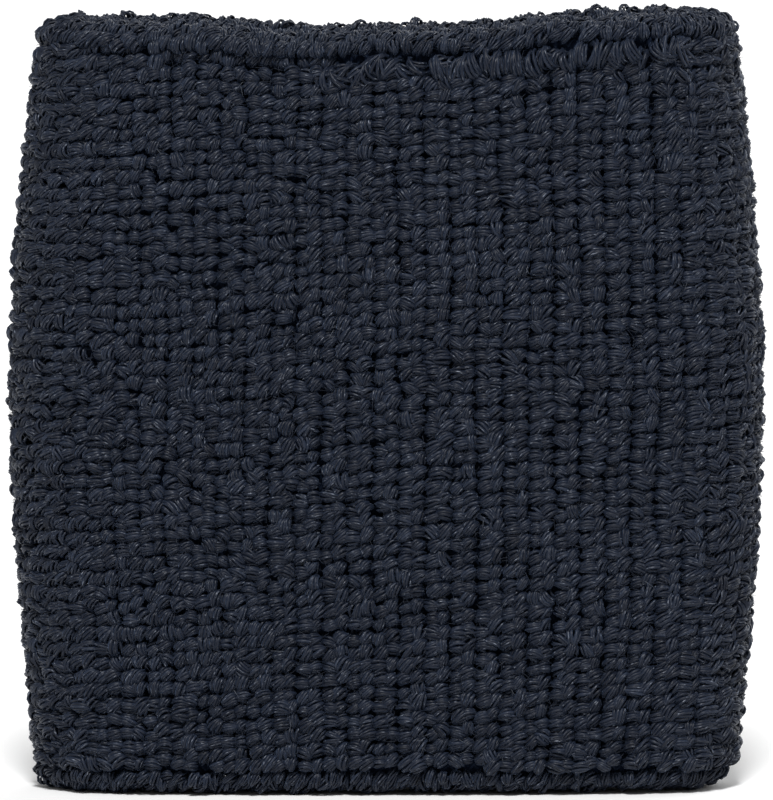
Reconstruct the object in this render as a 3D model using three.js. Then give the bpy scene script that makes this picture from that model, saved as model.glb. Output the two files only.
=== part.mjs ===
// A terry sweat wristband, standing open on its lower rim, in millimetres with +Z up.
// It is one knitted tube folded double: two layers of ground knit, looped pile on both faces,
// elastic yarn laid between the layers, and a seam that closes the fold inside the lower rim.
// +X is the flat width and +Y the depth. The origin is the middle of the lower rim's foot.
import * as THREE from "three";

// Driving dimensions.
const HEIGHT = 80;
const RIM_WIDTH = 72.4;
const BELLY_WIDTH = 78.2;
const RIM_DEPTH = 21;
const BELLY_DEPTH = 25;
const BULGE_SHARPNESS = 1.3;
const FACE_CROWN = 1.6;

// The wall, counted inwards from the outer tips of the pile.
const GAP = 0.3;
const OUTER_PILE = 2.0;
const INNER_PILE = 1.6;
const KNIT = 0.6;
const CORE = 1.9;
const OUTER_KNIT_AT = OUTER_PILE + GAP;
const CORE_AT = OUTER_KNIT_AT + KNIT;
const INNER_KNIT_AT = CORE_AT + CORE;
const INNER_PILE_AT = INNER_KNIT_AT + KNIT + GAP;
const WALL = INNER_PILE_AT + INNER_PILE;

// The rims: a roll of pile over the fold, and a groove of unlooped courses under it.
const ROLL_HEIGHT = 1.8;
const ROLL_RADIUS = 1.6;
const ROLL_FLOOR = 1.1;
const INNER_ROLL_INSET = 0.5;
const UPPER_ROLL_INSET = 0.2;
const LOWER_ROLL_INSET = 0.8;
const GROOVE_HEIGHT = 0.8;
const GROOVE_DEPTH = 1.1;
const PILE_AT = ROLL_HEIGHT + GROOVE_HEIGHT + 2 * GAP;

// The seam inside the lower rim and the elastic yarns inside the wall.
const SEAM_HEIGHT = 3.0;
const SEAM_THICKNESS = 0.9;
const THREAD = 0.4;
const ELASTIC = 0.4;
const ELASTIC_PITCH = 10;
const ELASTIC_TURNS = 6;
const ELASTIC_FROM = 9;

// Facets: points round the band, spans up a wall, sides of a yarn.
const STATIONS = 40;
const WALL_SPANS = 7;
const YARN_SIDES = 4;
const ARC_DIVISIONS = 1;
const FINE_STEPS = 2000;

// How far the band bulges at a height: 0 at both rims and 1 half way up.
function bulge(height) {
  const phase = THREE.MathUtils.clamp(height / HEIGHT, 0, 1) * Math.PI;
  return Math.max(Math.sin(phase), 0) ** BULGE_SHARPNESS;
}

// A point of the band's flattened section. The section is a slim ellipse with a round of constant
// radius about it, so a layer deeper in the wall is the same ellipse with a smaller round.
function bandPoint(angle, inset, height) {
  const swell = bulge(height);
  const halfWidth = THREE.MathUtils.lerp(RIM_WIDTH, BELLY_WIDTH, swell) / 2;
  const halfDepth = THREE.MathUtils.lerp(RIM_DEPTH, BELLY_DEPTH, swell) / 2;
  const round = halfDepth - FACE_CROWN;
  const core = halfWidth - round;
  const normal = new THREE.Vector2(FACE_CROWN * Math.cos(angle), core * Math.sin(angle)).normalize();
  return new THREE.Vector3(
    core * Math.cos(angle) + (round - inset) * normal.x,
    FACE_CROWN * Math.sin(angle) + (round - inset) * normal.y,
    height,
  );
}

// Angles of the stations round the band, spread evenly by length and by how far the outline turns.
function stationAngles(count) {
  const step = (2 * Math.PI) / FINE_STEPS;
  const points = [];
  for (let i = -1; i <= FINE_STEPS; i++) points.push(bandPoint(i * step, 0, HEIGHT / 2));
  const lengths = [];
  const turns = [];
  for (let i = 1; i <= FINE_STEPS; i++) {
    const before = points[i].clone().sub(points[i - 1]);
    const after = points[i + 1].clone().sub(points[i]);
    lengths.push(after.length());
    turns.push(before.angleTo(after));
  }
  const total = (list) => list.reduce((sum, value) => sum + value, 0);
  const wholeLength = total(lengths);
  const wholeTurn = total(turns);
  const angles = [];
  let covered = 0;
  for (let i = 0; i < FINE_STEPS; i++) {
    if (covered >= angles.length / count) angles.push(i * step);
    covered += (lengths[i] / wholeLength + turns[i] / wholeTurn) / 2;
  }
  return angles.slice(0, count);
}

const ANGLES = stationAngles(STATIONS);

// A closed ring round the band. The profile holds (inset, height) points and ends where it starts.
// LatheGeometry sweeps it round a circle, and each copy then moves to its station on the band.
function ring(profile) {
  const geometry = new THREE.LatheGeometry(profile, STATIONS);
  const place = geometry.attributes.position;
  for (let i = 0; i < place.count; i++) {
    const angle = ANGLES[Math.floor(i / profile.length) % STATIONS];
    const { x: inset, y: height } = profile[i % profile.length];
    place.setXYZ(i, ...bandPoint(angle, inset, height).toArray());
  }
  geometry.computeVertexNormals();
  return geometry;
}

// The profile of a wall that follows the bulge between two insets and two heights.
function wallProfile(outer, inner, low, high, spans = WALL_SPANS) {
  const profile = [];
  for (let i = 0; i <= spans; i++) {
    profile.push(new THREE.Vector2(outer, THREE.MathUtils.lerp(low, high, i / spans)));
  }
  for (let i = spans; i >= 0; i--) {
    profile.push(new THREE.Vector2(inner, THREE.MathUtils.lerp(low, high, i / spans)));
  }
  profile.push(profile[0].clone());
  return profile;
}

// The profile of a lower rim's roll: a channel that holds the fold, rounded below, with a flat foot.
function rollProfile(outerInset) {
  const outer = outerInset;
  const inner = WALL - INNER_ROLL_INSET;
  const path = new THREE.Path();
  path.moveTo(outer + ROLL_RADIUS, 0);
  path.lineTo(inner - ROLL_RADIUS, 0);
  path.absarc(inner - ROLL_RADIUS, ROLL_RADIUS, ROLL_RADIUS, -Math.PI / 2, 0);
  path.lineTo(inner, ROLL_HEIGHT);
  path.lineTo(INNER_PILE_AT, ROLL_HEIGHT);
  path.lineTo(INNER_PILE_AT, ROLL_FLOOR);
  path.lineTo(OUTER_PILE, ROLL_FLOOR);
  path.lineTo(OUTER_PILE, ROLL_HEIGHT);
  path.lineTo(outer, ROLL_HEIGHT);
  path.absarc(outer + ROLL_RADIUS, ROLL_RADIUS, ROLL_RADIUS, Math.PI, Math.PI * 1.5);
  const points = path.getPoints(ARC_DIVISIONS);
  points.pop();
  points.push(points[0].clone());
  return points.reverse();
}

// The same profile at the upper rim: heights count down from the top, and the order turns round.
function upsideDown(profile) {
  return profile.map(({ x, y }) => new THREE.Vector2(x, HEIGHT - y)).reverse();
}

// The profile of a thread that runs round the band, as a square standing on its corner.
function threadProfile(inset, height, diameter) {
  const profile = [];
  for (let i = 0; i <= YARN_SIDES; i++) {
    const turn = (-2 * Math.PI * i) / YARN_SIDES;
    profile.push(
      new THREE.Vector2(
        inset + (Math.cos(turn) * diameter) / 2,
        height + (Math.sin(turn) * diameter) / 2,
      ),
    );
  }
  return profile;
}

// An elastic yarn that winds up the band inside the wall.
class ElasticPath extends THREE.Curve {
  constructor(inset, from) {
    super();
    this.inset = inset;
    this.from = from;
  }

  getPoint(t) {
    const travel = t * ELASTIC_TURNS;
    const station = (travel % 1) * STATIONS;
    const before = Math.floor(station) % STATIONS;
    const start = ANGLES[before];
    const end = before + 1 < STATIONS ? ANGLES[before + 1] : 2 * Math.PI;
    const angle = THREE.MathUtils.lerp(start, end, station - Math.floor(station));
    return bandPoint(angle, this.inset, this.from + travel * ELASTIC_PITCH);
  }
}

function elasticYarn(inset, from) {
  const corners = [];
  for (let i = 0; i < YARN_SIDES; i++) {
    const turn = (2 * Math.PI * i) / YARN_SIDES;
    corners.push(new THREE.Vector2(Math.cos(turn), Math.sin(turn)).multiplyScalar(ELASTIC / 2));
  }
  return new THREE.ExtrudeGeometry(new THREE.Shape(corners), {
    extrudePath: new ElasticPath(inset, from),
    steps: ELASTIC_TURNS * STATIONS,
  });
}

const pileYarn = new THREE.MeshStandardMaterial({ color: "#252a35", roughness: 0.95, metalness: 0 });
const groundYarn = new THREE.MeshStandardMaterial({ color: "#15181f", roughness: 0.85, metalness: 0 });
const seamThread = new THREE.MeshStandardMaterial({ color: "#1b1f28", roughness: 0.6, metalness: 0 });
const elasticCore = new THREE.MeshStandardMaterial({ color: "#8c8a84", roughness: 0.5, metalness: 0 });

const wristband = new THREE.Group();

function add(name, geometry, material) {
  const mesh = new THREE.Mesh(geometry, material);
  mesh.name = name;
  wristband.add(mesh);
}

function addPile() {
  const top = HEIGHT - PILE_AT;
  const liningLow = ROLL_HEIGHT + GAP;
  add("outer_pile", ring(wallProfile(0, OUTER_PILE, PILE_AT, top)), pileYarn);
  const lining = wallProfile(INNER_PILE_AT, WALL, liningLow, HEIGHT - liningLow);
  add("inner_pile", ring(lining), pileYarn);
}

function addRims() {
  add("lower_rim_pile", ring(rollProfile(LOWER_ROLL_INSET)), pileYarn);
  add("upper_rim_pile", ring(upsideDown(rollProfile(UPPER_ROLL_INSET))), pileYarn);
  const grooveLow = ROLL_HEIGHT + GAP;
  const groove = wallProfile(GROOVE_DEPTH, OUTER_PILE, grooveLow, grooveLow + GROOVE_HEIGHT, 1);
  add("lower_groove_courses", ring(groove), groundYarn);
  add("upper_groove_courses", ring(upsideDown(groove)), groundYarn);
}

function addGroundKnit() {
  const low = ROLL_HEIGHT + GAP;
  const high = HEIGHT - low;
  add("outer_ground_knit", ring(wallProfile(OUTER_KNIT_AT, CORE_AT, low, high)), groundYarn);
  const innerKnit = wallProfile(INNER_KNIT_AT, INNER_KNIT_AT + KNIT, low, high);
  add("inner_ground_knit", ring(innerKnit), groundYarn);
  const foldLow = ROLL_FLOOR + GAP;
  const fold = wallProfile(OUTER_KNIT_AT, INNER_KNIT_AT + KNIT, foldLow, ROLL_HEIGHT, 1);
  add("lower_fold_knit", ring(fold), groundYarn);
  add("upper_fold_knit", ring(upsideDown(fold)), groundYarn);
}

function addClosingSeam() {
  const middle = CORE_AT + CORE / 2;
  const needleAt = ROLL_HEIGHT + GAP + THREAD / 2;
  const edgeLow = needleAt + THREAD / 2 + GAP;
  const edgeHigh = edgeLow + SEAM_HEIGHT;
  const looperAt = edgeHigh + GAP + THREAD / 2;
  const edges = wallProfile(
    middle - SEAM_THICKNESS / 2,
    middle + SEAM_THICKNESS / 2,
    edgeLow,
    edgeHigh,
    1,
  );
  add("closing_seam_needle_thread", ring(threadProfile(middle, needleAt, THREAD)), seamThread);
  add("closing_seam_raw_edges", ring(edges), groundYarn);
  add("closing_seam_looper_thread", ring(threadProfile(middle, looperAt, THREAD)), seamThread);
}

function addElastic() {
  const spread = CORE / 4;
  const middle = CORE_AT + CORE / 2;
  add("outer_elastic_yarn", elasticYarn(middle - spread / 2, ELASTIC_FROM), elasticCore);
  const innerFrom = ELASTIC_FROM + ELASTIC_PITCH / 2;
  add("inner_elastic_yarn", elasticYarn(middle + spread / 2, innerFrom), elasticCore);
}

addPile();
addRims();
addGroundKnit();
addClosingSeam();
addElastic();

export default wristband;
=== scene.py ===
"""Looks of the terry sweat wristband. Every pile loop is a bundle of real strands, set wale by wale
and course by course on the band that the frame gives; the ground jersey, the elastic yarns and the
closing seam's threads lie inside. Lengths are in millimetres until a mesh is made, and angles in
radians unless a name says otherwise.
"""

import math

import bpy
import numpy as np
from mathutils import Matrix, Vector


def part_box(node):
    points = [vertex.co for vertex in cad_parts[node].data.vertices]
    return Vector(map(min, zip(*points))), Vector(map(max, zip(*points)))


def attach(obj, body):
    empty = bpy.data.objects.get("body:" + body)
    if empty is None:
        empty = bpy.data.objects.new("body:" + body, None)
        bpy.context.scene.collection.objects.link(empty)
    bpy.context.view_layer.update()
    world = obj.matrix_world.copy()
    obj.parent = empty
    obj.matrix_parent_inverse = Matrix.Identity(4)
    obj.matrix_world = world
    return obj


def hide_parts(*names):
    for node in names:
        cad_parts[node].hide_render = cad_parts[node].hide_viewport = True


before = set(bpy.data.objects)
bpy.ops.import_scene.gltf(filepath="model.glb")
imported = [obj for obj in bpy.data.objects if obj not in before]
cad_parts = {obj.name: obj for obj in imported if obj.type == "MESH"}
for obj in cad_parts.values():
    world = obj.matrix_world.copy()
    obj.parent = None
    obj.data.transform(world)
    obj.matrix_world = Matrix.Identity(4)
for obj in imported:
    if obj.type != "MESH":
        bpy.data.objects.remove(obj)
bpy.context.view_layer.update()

MM = 0.001
RNG = np.random.default_rng(20)


def box_mm(node):
    """The lowest and highest corner of a CAD node, in millimetres."""
    low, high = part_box(node)
    return np.array(low) / MM, np.array(high) / MM


# The band's section, as the CAD has it.
FACE_CROWN = 1.6
BULGE_SHARPNESS = 1.3
ROLL_INSET = 0.2
HEIGHT = box_mm("upper_rim_pile")[1][2]
RIM_HALF = box_mm("upper_rim_pile")[1][:2] + ROLL_INSET
BELLY_HALF = box_mm("outer_pile")[1][:2]

# The wall, counted inwards from the outer tips of the pile.
OUTER_KNIT_AT = 2.3
INNER_KNIT_AT = 5.4
MIDDLE_AT = (OUTER_KNIT_AT + INNER_KNIT_AT) / 2
SEAM_FROM, SEAM_TO = box_mm("closing_seam_raw_edges")[0][2], box_mm("closing_seam_raw_edges")[1][2]
TUBE_ROUND = 165.0

# The pile: wales round the band, courses up it, and how many courses one turn climbs.
WALES = 132
COURSE_PITCH = 1.47
CLIMB = 6
INNER_WALES = 96
INNER_PITCH = 1.6
STRAND_RADIUS = 0.175
INNER_STRAND_RADIUS = 0.2
RIM_STRAND_RADIUS = 0.13
FIBRE_RADIUS = 0.022
GIRTH = 180.0
FRONT = 0.75  # the front face's middle, as a share of the way round

# How the strands of one loop differ, and how its outermost strands fall short of the middle ones.
ACROSS_JITTER = 0.07
TURN_JITTER = 0.12
REACH_JITTER = 0.08
CREST_JITTER = 0.06
THICKNESS_JITTER = 0.08
SIDE_SHORTENING = 0.45
SIDE_DROP = 0.72
ROOT_DEPTH = 0.2
LEG_FROM = 0.75  # where a loop's round part ends and its legs begin, as a share of its half
# Single fibres lighter than these stand in for glints: a painted highlight.
DARK_TONES = 0.8  # the end of the tones that strands have; a few single fibres are lighter

# The outer face: wales stand in pairs, one level and one leaning.
OUTER_WIDTH = 1.2
OUTER_LENGTH = 1.66
OUTER_RISE = 2.12
PAIR_PULL = 0.11
PAIR_PULL_RIGHT = 0.07
PAIR_STEP = 0.1
STRAY_SHARE = 0.08
STRAY_TURN = 0.9

# The upper rim sags between its corners, droops on the left and lifts near the right corner.
SAG = 1.2
SAG_HALF_WIDTH = 15.0
SAG_FROM = 52.0
LEFT_DROOP = 0.4
LEFT_DROOP_FULL_AT = 12.0
CORNER_LIFT = 0.45
CORNER_LIFT_AT = 29.0
CORNER_LIFT_HALF_WIDTH = 6.0

# Grooves of unlooped courses run under both rolls; part of the upper one has a curled row below it.
UPPER_GROOVE_BELOW_TOP = 2.2
LOWER_GROOVE_AT = 2.5
GROOVE_HALF = 0.5
GROOVE_EDGE = GROOVE_HALF + 0.15
GROOVE_DIP = 1.2
CURLED_ROW_HEIGHT = 3.35
CURLED_ROW_AT = 1.8
CURLED_FROM, CURLED_TO = -6.0, 31.0

# The overlock and the elastic.
SEAM_STITCHES = 82
NEEDLE_RADIUS = 0.11
LOOPER_RADIUS = 0.1
ELASTIC_TURNS = 6
CORE_RADIUS = 0.16
COVER_RADIUS = 0.05
COVER_PITCH = 2.2


# ---------------------------------------------------------------- the band's surface


def smooth(x, low, high):
    """A smooth step from 0 at the low end to 1 at the high end."""
    t = np.clip((x - low) / (high - low), 0, 1)
    return t * t * (3 - 2 * t)


def band(angle, inset, height):
    """Points of the flattened section: a slim ellipse with a round about it, less the inset."""
    swell = np.sin(np.pi * np.clip(height / HEIGHT, 0, 1)).clip(0) ** BULGE_SHARPNESS
    half_width = RIM_HALF[0] + (BELLY_HALF[0] - RIM_HALF[0]) * swell
    half_depth = RIM_HALF[1] + (BELLY_HALF[1] - RIM_HALF[1]) * swell
    round_ = half_depth - FACE_CROWN
    core = half_width - round_
    normal = unit(np.stack(np.broadcast_arrays(FACE_CROWN * np.cos(angle), core * np.sin(angle)), -1))
    x = core * np.cos(angle) + (round_ - inset) * normal[..., 0]
    y = FACE_CROWN * np.sin(angle) + (round_ - inset) * normal[..., 1]
    return np.stack(np.broadcast_arrays(x, y, height), -1)


def settle(points):
    """The upper rim's sag, droop and lift between its corners, fading out down the faces."""
    across = points[..., 0]
    sag = SAG * np.exp(-((across / SAG_HALF_WIDTH) ** 4))
    droop = LEFT_DROOP * smooth(-across, 0, LEFT_DROOP_FULL_AT)
    lift = CORNER_LIFT * np.exp(-(((across - CORNER_LIFT_AT) / CORNER_LIFT_HALF_WIDTH) ** 2))
    points[..., 2] -= (sag + droop - lift) * smooth(points[..., 2], SAG_FROM, HEIGHT)
    return points


def unit(vectors):
    return vectors / np.linalg.norm(vectors, axis=-1, keepdims=True).clip(1e-9)


def round_the_band(share):
    """The angle at each share of the way round, by length, starting from +X."""
    fine = np.linspace(0, 2 * np.pi, 4001)
    path = band(fine, 1.0, HEIGHT / 2)
    steps = np.linalg.norm(np.diff(path, axis=0), axis=1)
    covered = np.concatenate([[0], np.cumsum(steps)]) / steps.sum()
    whole = np.floor(share)
    return np.interp(share - whole, covered, fine) + 2 * np.pi * whole


def waves(x, y, count, lowest, highest):
    """Smooth noise of about unit size: a sum of waves in random directions."""
    total = 0
    for _ in range(count):
        turn, phase = RNG.uniform(0, 2 * np.pi, 2)
        pace = RNG.uniform(lowest, highest)
        total = total + np.sin(pace * (x * np.cos(turn) + y * np.sin(turn)) + phase)
    return total / math.sqrt(count / 2)


def groove_at(across):
    """The height of the upper groove: it dips on the left, where the roll is slack."""
    dip = GROOVE_DIP * smooth(-across, -2, 8) * smooth(across, -36, -28)
    return HEIGHT - UPPER_GROOVE_BELOW_TOP - dip


# ---------------------------------------------------------------- loops


class Tufts:
    """Where each pile loop stands on the fabric, and in lay() how it lies."""

    FACTS = ("turn", "width", "length", "rise", "bow", "fan")

    def __init__(self, angle, inset, height, lean=0.0):
        self.angle, self.inset, self.height, self.lean = np.broadcast_arrays(angle, inset, height, lean)
        self.count = self.angle.size

    def lay(self, **facts):
        for name in self.FACTS:
            setattr(self, name, np.broadcast_to(facts[name], self.angle.shape).astype(float))
        return self

    def part(self, chosen):
        piece = Tufts(self.angle[chosen], self.inset[chosen], self.height[chosen], self.lean[chosen])
        return piece.lay(**{name: getattr(self, name)[chosen] for name in self.FACTS})


def loop_path(steps):
    """A loop seen from the side: its place along and up, a half circle on two legs that close in."""
    leg_closing = 0.35
    u = np.linspace(-1, 1, steps)
    bend = np.clip(np.abs(u) / LEG_FROM, 0, 1) * np.pi / 2
    leg = np.clip((np.abs(u) - LEG_FROM) / (1 - LEG_FROM), 0, 1)
    along = np.sign(u) * np.sin(bend) * (1 - leg_closing * leg)
    return u, along, np.cos(bend), leg


def strand_paths(tufts, per_tuft, steps):
    """Each strand's path from its tuft's foot: along the courses, up the wales and out; and its turn."""
    shape = (tufts.count, per_tuft)
    across = (np.arange(per_tuft) + 0.5) / per_tuft * 2 - 1
    across = across + RNG.normal(0, ACROSS_JITTER, shape)
    turn = tufts.turn[:, None] + tufts.fan[:, None] * across + RNG.normal(0, TURN_JITTER, shape)
    reach = tufts.length[:, None] / 2 * np.sqrt(1 - SIDE_SHORTENING * across.clip(-1.2, 1.2) ** 2)
    reach = reach * (1 + RNG.normal(0, REACH_JITTER, shape))
    crest = tufts.rise[:, None] - SIDE_DROP * across**2 + RNG.normal(0, CREST_JITTER, shape)

    u, along, arch, leg = loop_path(steps)
    round_ = np.minimum(0.8 * reach, 0.9 * crest)[..., None]
    up = (crest[..., None] - round_) * (1 - leg) + round_ * arch - ROOT_DEPTH * leg
    along = reach[..., None] * along
    curl = np.cos(u * np.pi / 2)
    side = (across * tufts.width[:, None] / 2)[..., None] * (1 - 0.55 * u**2)
    side = side + tufts.bow[:, None, None] * ((0.7 + 0.3 * across)[..., None] * curl - 0.45)
    du = along * np.cos(turn)[..., None] - side * np.sin(turn)[..., None]
    dv = along * np.sin(turn)[..., None] + side * np.cos(turn)[..., None]
    return du, dv, up, turn


def strands(tufts, per_tuft, steps, sides, radius):
    """The vertices of every strand of every tuft: strands, steps, sides, xyz."""
    du, dv, up, turn = strand_paths(tufts, per_tuft, steps)
    lean = tufts.lean[:, None, None]
    inset = tufts.inset[:, None, None] - up * np.cos(lean) + dv * np.sin(lean)
    height = tufts.height[:, None, None] + up * np.sin(lean) + dv * np.cos(lean)
    step = 1e-3
    sweep = band(tufts.angle + step, tufts.inset, tufts.height)
    sweep = (sweep - band(tufts.angle - step, tufts.inset, tufts.height)) / (2 * step)
    speed = np.linalg.norm(sweep, axis=-1)[:, None, None]
    centre = settle(band(tufts.angle[:, None, None] + du / speed, inset, height))
    centre[..., 2] = np.maximum(centre[..., 2], radius)

    east = unit(sweep)
    upright = np.array([0.0, 0.0, 1.0])
    outward = np.cross(east, upright)
    north = np.cos(tufts.lean)[:, None] * upright - np.sin(tufts.lean)[:, None] * outward
    sideways = np.cos(turn)[..., None] * north[:, None] - np.sin(turn)[..., None] * east[:, None]
    tangent = unit(np.gradient(centre, axis=2))
    normal = unit(np.cross(sideways[:, :, None], tangent))
    taper = 1 - 0.15 * np.linspace(-1, 1, steps) ** 2
    thick = radius * (1 + RNG.normal(0, THICKNESS_JITTER, turn.shape))[..., None] * taper
    return tube(centre, normal, np.cross(tangent, normal), thick, sides)


def tube(centre, normal, binormal, thick, sides):
    """Rings of points about a centreline: the same shape, then sides, then xyz."""
    around = (np.arange(sides) / sides * 2 * np.pi)[:, None]
    ring = normal[..., None, :] * np.cos(around) + binormal[..., None, :] * np.sin(around)
    points = centre[..., None, :] + thick[..., None, None] * ring
    points[..., 2] = np.maximum(points[..., 2], 0.0)
    return points.reshape(-1, *points.shape[-3:])


def tube_faces(steps, sides):
    """Corner indices of one capped tube, its face sizes, and each corner's place along and around."""
    corners, sizes, place = [], [], []
    for i in range(steps - 1):
        for j in range(sides):
            for di, dj in ((0, 0), (0, 1), (1, 1), (1, 0)):
                corners.append((i + di) * sides + (j + dj) % sides)
                place.append(((i + di) / (steps - 1), (j + dj) / sides))
            sizes.append(4)
    for i, order in ((0, range(sides - 1, -1, -1)), (steps - 1, range(sides))):
        corners += [i * sides + j for j in order]
        place += [(i / (steps - 1), j / sides) for j in order]
        sizes.append(sides)
    return np.array(corners), np.array(sizes), np.array(place, float)


def new_piece(name, vertices, corners, sizes, maps, mat, stands_for):
    """A smooth mesh piece on the root body, in millimetres, with its UV maps by name."""
    mesh = bpy.data.meshes.new(name)
    mesh.vertices.add(len(vertices))
    mesh.vertices.foreach_set("co", (vertices.reshape(-1) * MM).astype(np.float32))
    mesh.loops.add(corners.size)
    mesh.loops.foreach_set("vertex_index", corners.reshape(-1).astype(np.int32))
    starts = np.concatenate([[0], np.cumsum(sizes)[:-1]])
    mesh.polygons.add(starts.size)
    mesh.polygons.foreach_set("loop_start", starts.astype(np.int32))
    mesh.polygons.foreach_set("use_smooth", np.ones(starts.size, bool))
    mesh.update(calc_edges=True)
    for map_name, place in maps.items():
        mesh.uv_layers.new(name=map_name).uv.foreach_set("vector", place.reshape(-1).astype(np.float32))
    mesh.materials.append(mat)
    piece = add_object(name, mesh)
    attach(piece, "root")
    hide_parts(*stands_for)
    return piece


def strand_piece(name, points, tone, mat, stands_for):
    """Many capped tubes as one piece. Each tube has its own tile of the bake map."""
    count, steps, sides = points.shape[:3]
    corners, sizes, place = tube_faces(steps, sides)
    corners = corners[None] + (np.arange(count) * steps * sides)[:, None]
    columns = math.ceil(math.sqrt(count / 2))
    rows = math.ceil(count / columns)
    tile = np.stack([np.arange(count) % columns, np.arange(count) // columns], -1)
    margin = 0.06
    bake = (tile[:, None] + margin + (1 - 2 * margin) * place[None]) / (columns, rows)
    maps = {"OFBake": bake, "yarn": np.broadcast_to(place[None], (count, *place.shape))}
    piece = new_piece(
        name, points.reshape(-1, 3), corners, np.tile(sizes, count), maps, mat, stands_for
    )
    tones = piece.data.attributes.new("tone", "FLOAT", "POINT")
    tones.data.foreach_set("value", np.repeat(tone, steps * sides).astype(np.float32))
    return piece


def strand_tones(tufts, per_tuft):
    """How light each strand is, from 0 to 1: alike within a tuft, and 1 for a few single fibres, which are
    painted glints.
    """
    tone = 0.3 + 0.08 * np.repeat(RNG.normal(0, 1, tufts.count), per_tuft)
    tone = (tone + RNG.gamma(1.2, 0.1, tone.size) - 0.08).clip(0, DARK_TONES)
    if per_tuft == 1:
        # Painted highlight: one single fibre in a hundred takes the lightest tone, as a glint.
        tone[RNG.random(tone.size) < 0.01] = 1.0
    return tone


def pile(node, name, tufts, mat, pieces, per_tuft, steps, sides, radius):
    """A pile that replaces one CAD node, in several pieces, each a stretch of the way round."""
    share = (tufts.angle % (2 * np.pi)) / (2 * np.pi)
    order = np.argsort(np.argsort(share, kind="stable"), kind="stable")
    sector = order * pieces // tufts.count
    made = []
    for i in range(pieces):
        part = tufts.part(sector == i)
        points = strands(part, per_tuft, steps, sides, radius)
        tone = strand_tones(part, per_tuft)
        made.append(strand_piece(f"{name}_{i + 1:02d}", points, tone, mat, [node]))
    return made


# ---------------------------------------------------------------- where the loops stand


def lattice(wales, pitch, low, high, climb):
    """The wale number, the share of the way round and the height of each loop of a face."""
    courses = int((high - low) / pitch) + 2 * climb + 2
    wale, course = np.meshgrid(np.arange(wales), np.arange(courses), indexing="ij")
    wale, course = wale.reshape(-1), course.reshape(-1)
    share = (wale + 0.5) / wales
    height = low + (course - climb + (share - FRONT) * climb) * pitch
    return wale, share, height


def crowd(height, limit, side):
    """Loops just past a limit move up to it, as short courses do; the ones further out are left off."""
    past = (limit - height) * side
    kept = past < 0.45 * COURSE_PITCH
    return np.where(past > 0, limit + side * 0.1 * past, height), kept


def outer_lie(even, rightness, scatter, drift, wander, ripple):
    """How each outer loop lies: the first wale of a pair is level and the second leans."""
    count = even.size
    turn = np.where(even, 0.3 - 0.22 * rightness, 0.78 + 0.14 * rightness)
    turn = turn + 0.2 * wander + scatter * RNG.normal(0, 0.24, count)
    stray = RNG.random(count) < STRAY_SHARE
    turn = turn + stray * RNG.choice([-1.0, 1.0], count) * STRAY_TURN
    size = 1 + 0.07 * ripple + RNG.normal(0, 0.06, count)
    return {
        "turn": turn,
        "width": OUTER_WIDTH * size,
        "length": (OUTER_LENGTH + 0.08 * rightness) * size,
        "rise": OUTER_RISE + 0.1 * drift + 0.12 * ripple + RNG.normal(0, 0.08, count),
        "bow": np.where(even, 0.5, 0.62) + RNG.normal(0, 0.25, count),
        "fan": np.where(even, -0.1, 0.1) + RNG.normal(0, 0.2, count),
    }


def between_grooves(angle, height, facts):
    """The outer loops that stand between the grooves, turned upright where the slack roll meets them."""
    across = band(angle, 0.0, HEIGHT / 2)[:, 0]
    groove = groove_at(across)
    slack = smooth(-across, 2, 8)
    over = height > groove - 0.6 * slack
    in_groove = np.abs(height - groove) < 0.7
    facts["turn"] = np.where(over, 1.2 + RNG.normal(0, 0.3, angle.size), facts["turn"])
    facts["rise"] = facts["rise"] - 0.1 * over - 0.6 * in_groove * slack

    curled = (across > CURLED_FROM) & (across < CURLED_TO)
    top = np.where(curled, groove - CURLED_ROW_HEIGHT, groove - GROOVE_EDGE)
    top = np.where(slack > 0.5, HEIGHT - 1.9, top)
    height, low_kept = crowd(height, LOWER_GROOVE_AT + GROOVE_EDGE, 1)
    height, high_kept = crowd(height, top, -1)
    kept = low_kept & high_kept
    tufts = Tufts(angle[kept], OUTER_KNIT_AT, height[kept])
    return tufts.lay(**{name: value[kept] for name, value in facts.items()})


def outer_loops():
    """The outer face: wales in pairs that draw together, with a gap after each pair."""
    wale, share, height = lattice(WALES, COURSE_PITCH, 2.0, HEIGHT, CLIMB)
    even = wale % 2 == 0
    x, count = share * GIRTH, wale.size
    drift = waves(x, height, 8, 0.08, 0.25)
    wander = waves(x, height, 8, 0.15, 0.45)
    ripple = waves(x, height, 14, 0.7, 1.8)
    rightness = np.cos(round_the_band(share))
    scatter = 1.4 - 0.4 * rightness
    inward = np.where(even, 1, -1)
    pull = (PAIR_PULL + PAIR_PULL_RIGHT * rightness) * inward
    du = pull + 0.12 * wander + 0.08 * ripple + scatter * RNG.normal(0, 0.09, count)
    dv = 0.3 * drift + 0.08 * ripple + scatter * RNG.normal(0, 0.085, count) - PAIR_STEP * inward
    facts = outer_lie(even, rightness, scatter, drift, wander, ripple)
    return between_grooves(round_the_band(share + du / GIRTH), height + dv, facts)


def big_loops():
    """The row of tall loops that curl under the upper groove, over part of both faces."""
    wales = int(WALES * 1.1)
    share = (np.arange(wales) + 0.5) / wales
    angle = round_the_band(share + RNG.normal(0, 0.0018, wales))
    across = band(angle, 0.0, HEIGHT / 2)[:, 0]
    kept = (across > CURLED_FROM - 1) & (across < CURLED_TO + 1)
    angle, across = angle[kept], across[kept]
    count = angle.size
    height = groove_at(across) - CURLED_ROW_AT + RNG.normal(0, 0.28, count)
    tufts = Tufts(angle, OUTER_KNIT_AT, height)
    return tufts.lay(
        turn=1.85 + RNG.normal(0, 0.5, count),
        width=1.05,
        length=2.8 + RNG.normal(0, 0.3, count),
        rise=2.45 + RNG.normal(0, 0.3, count),
        bow=1.3 + RNG.normal(0, 0.5, count),
        fan=RNG.normal(0, 0.45, count),
    )


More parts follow.
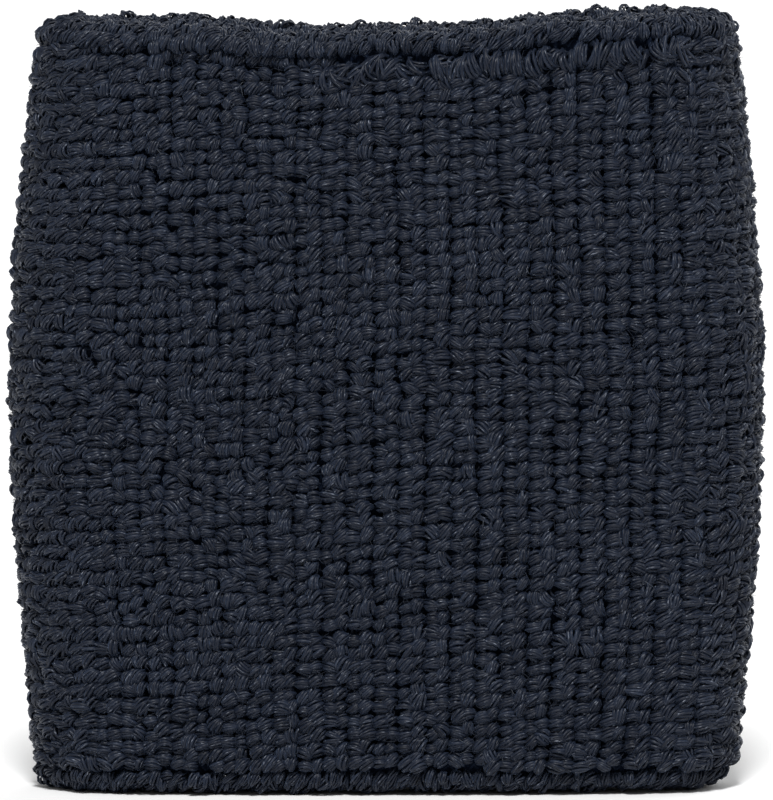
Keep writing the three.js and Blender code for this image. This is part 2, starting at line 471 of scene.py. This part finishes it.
def loose_fibres():
    """Single fibres that arch over the outer loops as a haze."""
    count = 14000
    angle = round_the_band(RNG.random(count))
    height = RNG.uniform(LOWER_GROOVE_AT + 1.2, HEIGHT - 3.4, count)
    tufts = Tufts(angle, OUTER_KNIT_AT, height)
    return tufts.lay(
        turn=RNG.uniform(0, np.pi, count),
        width=0.1,
        length=RNG.uniform(0.9, 2.0, count),
        rise=2.2 + RNG.exponential(0.07, count).clip(0, 0.3),
        bow=RNG.normal(0, 0.5, count),
        fan=0.0,
    )


def inner_loops():
    """The inner face, against the wrist: longer courses of thicker, flatter loops."""
    wale, share, height = lattice(INNER_WALES, INNER_PITCH, 1.8, HEIGHT - 1.8, CLIMB)
    kept = (height > 1.9) & (height < HEIGHT - 1.9)
    even, share, height = (wale % 2 == 0)[kept], share[kept], height[kept]
    count = share.size
    angle = round_the_band(share + RNG.normal(0, 0.0007, count))
    tufts = Tufts(angle, INNER_KNIT_AT + 0.1, height + RNG.normal(0, 0.12, count), np.pi)
    return tufts.lay(
        turn=np.where(even, 0.1, 0.8) + RNG.normal(0, 0.25, count),
        width=1.3,
        length=1.7,
        rise=1.7 + RNG.normal(0, 0.08, count),
        bow=0.25,
        fan=RNG.normal(0.0, 0.2, count),
    )


def rim_loops(upper):
    """Rows of short loops over a rim's fold, from the outer groove round to the inner face."""
    rows = 7
    wale, row = np.meshgrid(np.arange(WALES), np.arange(rows), indexing="ij")
    wale, row = wale.reshape(-1), row.reshape(-1)
    count = wale.size
    share = (wale + 0.5 + 0.5 * (row % 2)) / WALES
    angle = round_the_band(share + RNG.normal(0, 0.0009, count))
    lean = row / (rows - 1) * np.pi + RNG.normal(0, 0.06, count)
    half = (INNER_KNIT_AT - OUTER_KNIT_AT) / 2
    inset = MIDDLE_AT - half * np.cos(lean)
    foot = 1.85 - 0.5 * np.sin(lean)
    bumps = waves(share * GIRTH, 2 * lean, 14, 0.8, 2.2)
    facts = {
        "turn": 1.15 + RNG.normal(0, 0.35, count),
        "width": 1.1,
        "length": 1.55 + RNG.normal(0, 0.2, count),
        "rise": (1.9 - 0.75 * np.sin(lean)) * np.where(lean > np.pi / 2, 0.8, 1.0) + 0.22 * bumps,
        "bow": 0.2 + RNG.normal(0, 0.1, count),
        "fan": RNG.normal(0.0, 0.25, count),
    }
    if upper:
        return Tufts(angle, inset, HEIGHT - foot, lean).lay(**facts)
    tuck = 0.35 + 0.35 * np.cos(angle)
    facts["rise"] = facts["rise"] - tuck * np.cos(lean).clip(0)
    return Tufts(angle, inset, foot, -lean).lay(**facts)


# ---------------------------------------------------------------- inside the wall


def sheet_path():
    """The jersey's run through the wall as (inset, height): up from one raw edge and back to the other."""
    outer, inner = OUTER_KNIT_AT, INNER_KNIT_AT
    turn_down = [
        (MIDDLE_AT - 0.3, SEAM_TO),
        (MIDDLE_AT - 0.3, 2.6),
        (MIDDLE_AT - 0.7, 1.9),
        (outer + 0.3, 1.8),
    ]
    fold = [(outer + 0.3, HEIGHT - 1.8), (MIDDLE_AT, HEIGHT - 1.55), (inner - 0.3, HEIGHT - 1.8)]
    back = [(2 * MIDDLE_AT - inset, height) for inset, height in reversed(turn_down)]
    outer_run = [(outer, 2.6), (outer, HEIGHT - 2.6)]
    inner_run = [(inner, HEIGHT - 2.6), (inner, 2.6)]
    corners = np.array(turn_down + outer_run + fold + inner_run + back)
    run = np.concatenate([[0], np.cumsum(np.linalg.norm(np.diff(corners, axis=0), axis=1))])
    stitch_height = 0.95
    even = np.linspace(0, run[-1], int(run[-1] / stitch_height))
    return np.stack([np.interp(even, run, corners[:, 0]), np.interp(even, run, corners[:, 1])], -1)


def ground_jersey(mat):
    """One knitted sheet, folded at the upper rim, with ribs along its wales."""
    path = sheet_path()
    per_wale = 3
    columns = WALES * per_wale
    angle = round_the_band(np.arange(columns) / columns)
    rib = np.where(np.arange(columns) % per_wale == 0, -0.08, 0.06)
    stitch = np.where(np.arange(len(path)) % 2 == 0, -0.03, 0.03)
    inset = path[:, 0][:, None] - rib[None] - stitch[:, None]
    points = settle(band(angle[None], inset, np.broadcast_to(path[:, 1][:, None], inset.shape)))
    row, column = np.meshgrid(np.arange(len(path) - 1), np.arange(columns), indexing="ij")
    row, column = row.reshape(-1), column.reshape(-1)
    around = [(0, 0), (1, 0), (1, 1), (0, 1)]
    corners = np.stack([(row + up) * columns + (column + on) % columns for on, up in around], -1)
    place = np.stack([np.stack([column + on, row + up], -1) for on, up in around], 1).astype(float)
    bake = place / (columns, len(path) - 1)
    stitches = place / (per_wale, 1.0)
    stands_for = [
        "outer_ground_knit", "inner_ground_knit", "lower_fold_knit", "upper_fold_knit",
        "lower_groove_courses", "upper_groove_courses", "closing_seam_raw_edges",
    ]
    return new_piece(
        "ground_jersey", points.reshape(-1, 3), corners, np.full(len(corners), 4),
        {"OFBake": bake, "yarn": stitches}, mat, stands_for,
    )


def long_yarn(name, centre, radius, sides, mat, stands_for):
    """One long yarn along a centreline, in short lengths that share their end rings."""
    steps = 25
    count = (len(centre) - 1) // (steps - 1)
    centre = centre[: count * (steps - 1) + 1]
    tangent = unit(np.gradient(centre, axis=0))
    normal = unit(np.cross(tangent, np.array([0.0, 0.0, 1.0])))
    points = tube(centre, normal, np.cross(tangent, normal), np.full(len(centre), radius), sides)
    points = points.reshape(len(centre), sides, 3)
    lengths = np.stack([points[i * (steps - 1) : (i + 1) * (steps - 1) + 1] for i in range(count)])
    tone = np.full(count, 0.5)
    return strand_piece(name, lengths, tone, mat, stands_for)


def elastic_yarn(node, mat, cover_mat):
    """A pale rubber core that climbs the wall, with a sparse covering yarn wound round it."""
    low, high = box_mm(node)
    inset = BELLY_HALF[1] - high[1] + CORE_RADIUS
    climb = (high[2] - low[2]) / ELASTIC_TURNS
    run = np.linspace(0, ELASTIC_TURNS, 24 * 60 + 1)
    centre = settle(band(round_the_band(run), inset, low[2] + climb * run))
    core = long_yarn(f"{node}_core", centre, CORE_RADIUS, 8, mat, [node])

    fine = np.linspace(0, ELASTIC_TURNS, 24 * 500 + 1)
    wind = fine * TUBE_ROUND / COVER_PITCH * 2 * np.pi
    wound_at = CORE_RADIUS + 0.03
    height = low[2] + climb * fine + wound_at * np.sin(wind)
    wound = settle(band(round_the_band(fine), inset + wound_at * np.cos(wind), height))
    cover = long_yarn(f"{node}_cover", wound, COVER_RADIUS, 4, cover_mat, [node])
    return [core, cover]


def seam_threads(mat):
    """An overlock: a needle thread along the seam, and a looper thread wound over the raw edges."""
    share = np.linspace(0, 1, 24 * 120 + 1)
    angle = round_the_band(share)
    wind = share * SEAM_STITCHES * 2 * np.pi
    needle = band(angle, MIDDLE_AT + 0.45 * np.sin(wind), SEAM_FROM - 0.25 + 0.12 * np.cos(wind))
    middle, half = (SEAM_FROM + SEAM_TO) / 2, (SEAM_TO - SEAM_FROM) / 2 + 0.25
    looper = band(angle, MIDDLE_AT + 0.5 * np.sin(wind), middle + half * np.cos(wind))
    threads = {"needle": (needle, NEEDLE_RADIUS), "looper": (looper, LOOPER_RADIUS)}
    return [
        long_yarn(f"seam_{kind}_thread", path, radius, 6, mat, [f"closing_seam_{kind}_thread"])
        for kind, (path, radius) in threads.items()
    ]


# ---------------------------------------------------------------- materials


def node_material(name):
    """A new node material, with its nodes, links and shader."""
    mat = bpy.data.materials.new(name)
    mat.use_nodes = True
    nodes, links = mat.node_tree.nodes, mat.node_tree.links
    return mat, nodes, links, nodes["Principled BSDF"]


def fibre_noise(nodes, links, scale, tone=None):
    """Noise drawn out along a strand, in the strand's own map; its tone sets where the noise starts."""
    yarn = nodes.new("ShaderNodeUVMap")
    yarn.uv_map = "yarn"
    stretch = nodes.new("ShaderNodeMapping")
    stretch.inputs["Scale"].default_value = scale
    noise = nodes.new("ShaderNodeTexNoise")
    noise.inputs["Scale"].default_value = 2.0
    noise.inputs["Detail"].default_value = 2.0
    links.new(yarn.outputs["UV"], stretch.inputs["Vector"])
    links.new(stretch.outputs["Vector"], noise.inputs["Vector"])
    if tone:
        noise.noise_dimensions = "4D"
        links.new(value_range(nodes, links, tone, (0, 1), (0, 400)), noise.inputs["W"])
    return noise.outputs["Fac"]


def relief(nodes, links, shader, height, distance, strength=0.6):
    """Bump from a height, to a depth in metres."""
    bump = nodes.new("ShaderNodeBump")
    bump.inputs["Strength"].default_value = strength
    bump.inputs["Distance"].default_value = distance
    links.new(height, bump.inputs["Height"])
    links.new(bump.outputs["Normal"], shader.inputs["Normal"])


def value_range(nodes, links, value, source, target):
    """A value carried from one range to another, and held at its ends."""
    span = nodes.new("ShaderNodeMapRange")
    span.inputs["From Min"].default_value, span.inputs["From Max"].default_value = source
    span.inputs["To Min"].default_value, span.inputs["To Max"].default_value = target
    links.new(value, span.inputs["Value"])
    return span.outputs["Result"]


def tone_ramp(nodes, links, value, stops):
    """A colour for each value, from stops of (place, colour)."""
    ramp = nodes.new("ShaderNodeValToRGB")
    while len(ramp.color_ramp.elements) < len(stops):
        ramp.color_ramp.elements.new(0.5)
    for element, (place, colour) in zip(ramp.color_ramp.elements, stops):
        element.position = place
        element.color = (*colour, 1)
    links.new(value, ramp.inputs["Fac"])
    return ramp.outputs["Color"]


def pile_yarn():
    """Dark navy-charcoal cotton: matt, with a tone for each strand and painted highlights as glints along
    it.
    """
    mat, nodes, links, shader = node_material("pile_yarn")
    tone = nodes.new("ShaderNodeAttribute")
    tone.attribute_name = "tone"
    base = tone_ramp(nodes, links, tone.outputs["Fac"], [
        (0.0, (0.0011, 0.0026, 0.0080)),
        (DARK_TONES, (0.0138, 0.0199, 0.0362)),
        # The lightest stop colours the few single fibres that stand in for glints: a painted highlight.
        (1.0, (0.0700, 0.0800, 0.1000)),
    ])
    fibre = fibre_noise(nodes, links, (3.5, 3.0, 1.0), tone.outputs["Fac"])
    # Painted highlight: a pale colour added to the base colour where the fibre noise runs high, as glints.
    painted_glint = nodes.new("ShaderNodeVectorMath")
    painted_glint.operation = "SCALE"
    painted_glint.inputs[0].default_value = (0.235, 0.26, 0.31)
    links.new(value_range(nodes, links, fibre, (0.62, 0.78), (0, 1)), painted_glint.inputs["Scale"])
    base_and_painted_glint = nodes.new("ShaderNodeVectorMath")
    base_and_painted_glint.operation = "ADD"
    links.new(base, base_and_painted_glint.inputs[0])
    links.new(painted_glint.outputs["Vector"], base_and_painted_glint.inputs[1])
    links.new(base_and_painted_glint.outputs["Vector"], shader.inputs["Base Color"])
    relief(nodes, links, shader, fibre, 0.00008)
    links.new(value_range(nodes, links, fibre, (0.2, 0.8), (0.6, 0.34)), shader.inputs["Roughness"])
    shader.inputs["Specular IOR Level"].default_value = 0.24
    shader.inputs["Sheen Weight"].default_value = 0.09
    shader.inputs["Sheen Roughness"].default_value = 0.4
    shader.inputs["Sheen Tint"].default_value = (0.45, 0.62, 1.0, 1)
    return mat


def math_node(nodes, links, operation, first, *others):
    """One math node on a linked value; each other value is a number or another output."""
    node = nodes.new("ShaderNodeMath")
    node.operation = operation
    links.new(first, node.inputs[0])
    for i, value in enumerate(others, start=1):
        if isinstance(value, (int, float)):
            node.inputs[i].default_value = value
        else:
            links.new(value, node.inputs[i])
    return node.outputs["Value"]


def ground_yarn():
    """Near-black jersey, with a V of bump for each stitch, and painted shade in the stitches' hollows."""
    mat, nodes, links, shader = node_material("ground_yarn")
    yarn = nodes.new("ShaderNodeUVMap")
    yarn.uv_map = "yarn"
    split = nodes.new("ShaderNodeSeparateXYZ")
    links.new(yarn.outputs["UV"], split.inputs["Vector"])
    leg = math_node(nodes, links, "PINGPONG", split.outputs["X"], 0.5)
    course = math_node(nodes, links, "MULTIPLY_ADD", leg, 1.6, split.outputs["Y"])
    turn = math_node(nodes, links, "MULTIPLY", course, 2 * math.pi)
    wave = math_node(nodes, links, "SINE", turn)
    relief(nodes, links, shader, wave, 0.0001, 0.8)
    links.new(value_range(nodes, links, wave, (-1, 1), (0.95, 0.75)), shader.inputs["Roughness"])
    # Painted shade: the colour follows the bump's wave, darkest where the stitch surface is lowest.
    ramp = tone_ramp(nodes, links, wave, [
        (0.0, (0.0050, 0.0095, 0.0230)),
        (1.0, (0.0100, 0.0170, 0.0360)),
    ])
    links.new(ramp, shader.inputs["Base Color"])
    shader.inputs["Specular IOR Level"].default_value = 0.1
    return mat


def plain_yarn(name, dark, light, low, high, scale):
    """A single yarn: fibre streaks in colour, roughness and bump."""
    mat, nodes, links, shader = node_material(name)
    fibre = fibre_noise(nodes, links, scale)
    links.new(tone_ramp(nodes, links, fibre, [(0.3, dark), (0.7, light)]), shader.inputs["Base Color"])
    relief(nodes, links, shader, fibre, 0.00004)
    links.new(value_range(nodes, links, fibre, (0.2, 0.8), (low, high)), shader.inputs["Roughness"])
    return mat


# ---------------------------------------------------------------- stage


def add_object(name, data):
    """A new object in the scene."""
    thing = bpy.data.objects.new(name, data)
    bpy.context.scene.collection.objects.link(thing)
    return thing


def set_stage():
    """A plain pale floor under an even white sky."""
    half = 6.0
    corners = [(-half, -half, 0), (half, -half, 0), (half, half, 0), (-half, half, 0)]
    mesh = bpy.data.meshes.new("floor")
    mesh.from_pydata(corners, [], [(0, 1, 2, 3)])
    mat, _, _, shader = node_material("pale_floor")
    shader.inputs["Base Color"].default_value = (0.9, 0.9, 0.9, 1)
    shader.inputs["Roughness"].default_value = 0.9
    mesh.materials.append(mat)
    add_object("floor", mesh)

    world = bpy.data.worlds.new("studio")
    world.use_nodes = True
    sky = world.node_tree.nodes["Background"]
    sky.inputs["Color"].default_value = (1, 1, 1, 1)
    sky.inputs["Strength"].default_value = 0.34
    bpy.context.scene.world = world
    bpy.context.scene.view_settings.view_transform = "Standard"


def add_sun(name, direction, strength, spread_degrees):
    """A sun whose light travels along a direction."""
    light = bpy.data.lights.new(name, "SUN")
    light.energy = strength
    light.angle = math.radians(spread_degrees)
    add_object(name, light).rotation_euler = Vector(direction).to_track_quat("-Z", "Y").to_euler()


def set_camera():
    """A long lens, level with the front face and a little above it."""
    elevation, distance, frame_mm = math.radians(5), 1.5, 82.4
    middle = Vector((0.0, 0.0, HEIGHT * MM / 2))
    back = Vector((0, -math.cos(elevation), math.sin(elevation)))
    data = bpy.data.cameras.new("camera")
    data.sensor_width = 36
    data.lens = data.sensor_width / (frame_mm * MM) * distance
    camera = add_object("camera", data)
    camera.location = middle + back * distance
    camera.rotation_euler = (-back).to_track_quat("-Z", "Y").to_euler()
    bpy.context.scene.camera = camera


set_camera()
set_stage()
add_sun("key", (0.0, 0.6, -0.8), 3.35, 12)
add_sun("back_fill", (-0.5, -0.7, -0.6), 1.3, 60)

yarn = pile_yarn()
thread = plain_yarn("seam_thread", (0.006, 0.008, 0.012), (0.014, 0.017, 0.026), 0.4, 0.6, (14, 2, 1))
rubber = plain_yarn("elastic_core", (0.26, 0.25, 0.22), (0.33, 0.31, 0.28), 0.4, 0.55, (3, 1, 1))
covering = plain_yarn("elastic_cover", (0.1, 0.11, 0.13), (0.2, 0.21, 0.24), 0.5, 0.7, (10, 2, 1))

piles = pile("outer_pile", "outer_pile", outer_loops(), yarn, 16, 6, 9, 4, STRAND_RADIUS)
piles += pile("outer_pile", "outer_curled_row", big_loops(), yarn, 1, 5, 9, 4, STRAND_RADIUS)
piles += pile("outer_pile", "outer_fibre_haze", loose_fibres(), yarn, 2, 1, 4, 3, FIBRE_RADIUS)
piles += pile("inner_pile", "inner_pile", inner_loops(), yarn, 4, 3, 7, 4, INNER_STRAND_RADIUS)
piles += pile("upper_rim_pile", "upper_rim_pile", rim_loops(True), yarn, 2, 5, 7, 4, RIM_STRAND_RADIUS)
piles += pile("lower_rim_pile", "lower_rim_pile", rim_loops(False), yarn, 2, 5, 7, 4, RIM_STRAND_RADIUS)
jersey = ground_jersey(ground_yarn())
threads = seam_threads(thread)
for node in ("outer_elastic_yarn", "inner_elastic_yarn"):
    threads += elastic_yarn(node, rubber, covering)
